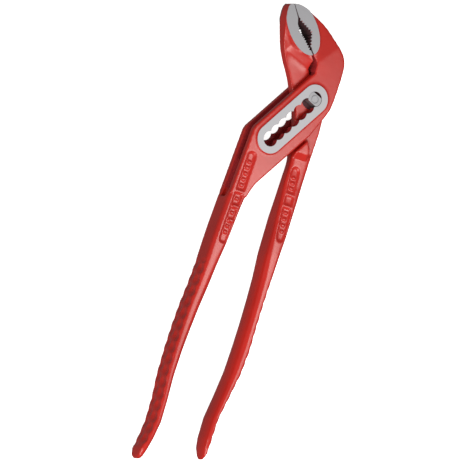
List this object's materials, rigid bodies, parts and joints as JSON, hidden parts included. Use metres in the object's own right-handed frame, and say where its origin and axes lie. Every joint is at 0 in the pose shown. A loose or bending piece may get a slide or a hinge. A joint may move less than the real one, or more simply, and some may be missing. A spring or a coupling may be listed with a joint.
{
  "type": "tongue and groove pliers",
  "caption": "Adjustable box-joint water pump pliers with red painted halves, a notched slot, a flatted bolt and toothed angled jaws.",
  "frame": {"origin": "under the middle of the bounding box, on the plane that the tool lies on", "axes": "+X across the tool from the slotted half's handle to the inner half's, +Y from the handles to the jaws, +Z through the thickness"},
  "size_m": [0.06, 0.251, 0.014],
  "materials": {
    "red_paint": "satin paint over forged steel",
    "ground_steel": "ground"
  },
  "bodies": {
    "slotted_body": {"slotted_half": "red_paint"},
    "bolt_body": {"joint_rivet": "ground_steel"},
    "inner_body": {"inner_half": "red_paint", "front_bolt_bush": "ground_steel", "rear_bolt_bush": "ground_steel"}
  },
  "joints": [
    {"name": "notch_slide", "type": "slide", "parent": "slotted_body", "child": "bolt_body", "axis": [-0.5878, -0.809, 0], "range_m": [0, 0.0336]},
    {"name": "jaw_pivot", "type": "hinge", "parent": "bolt_body", "child": "inner_body", "pos_m": [0.0172, 0.0805, 0.007], "axis": [0, 0, 1], "range_deg": [0, 75]}
  ]
}
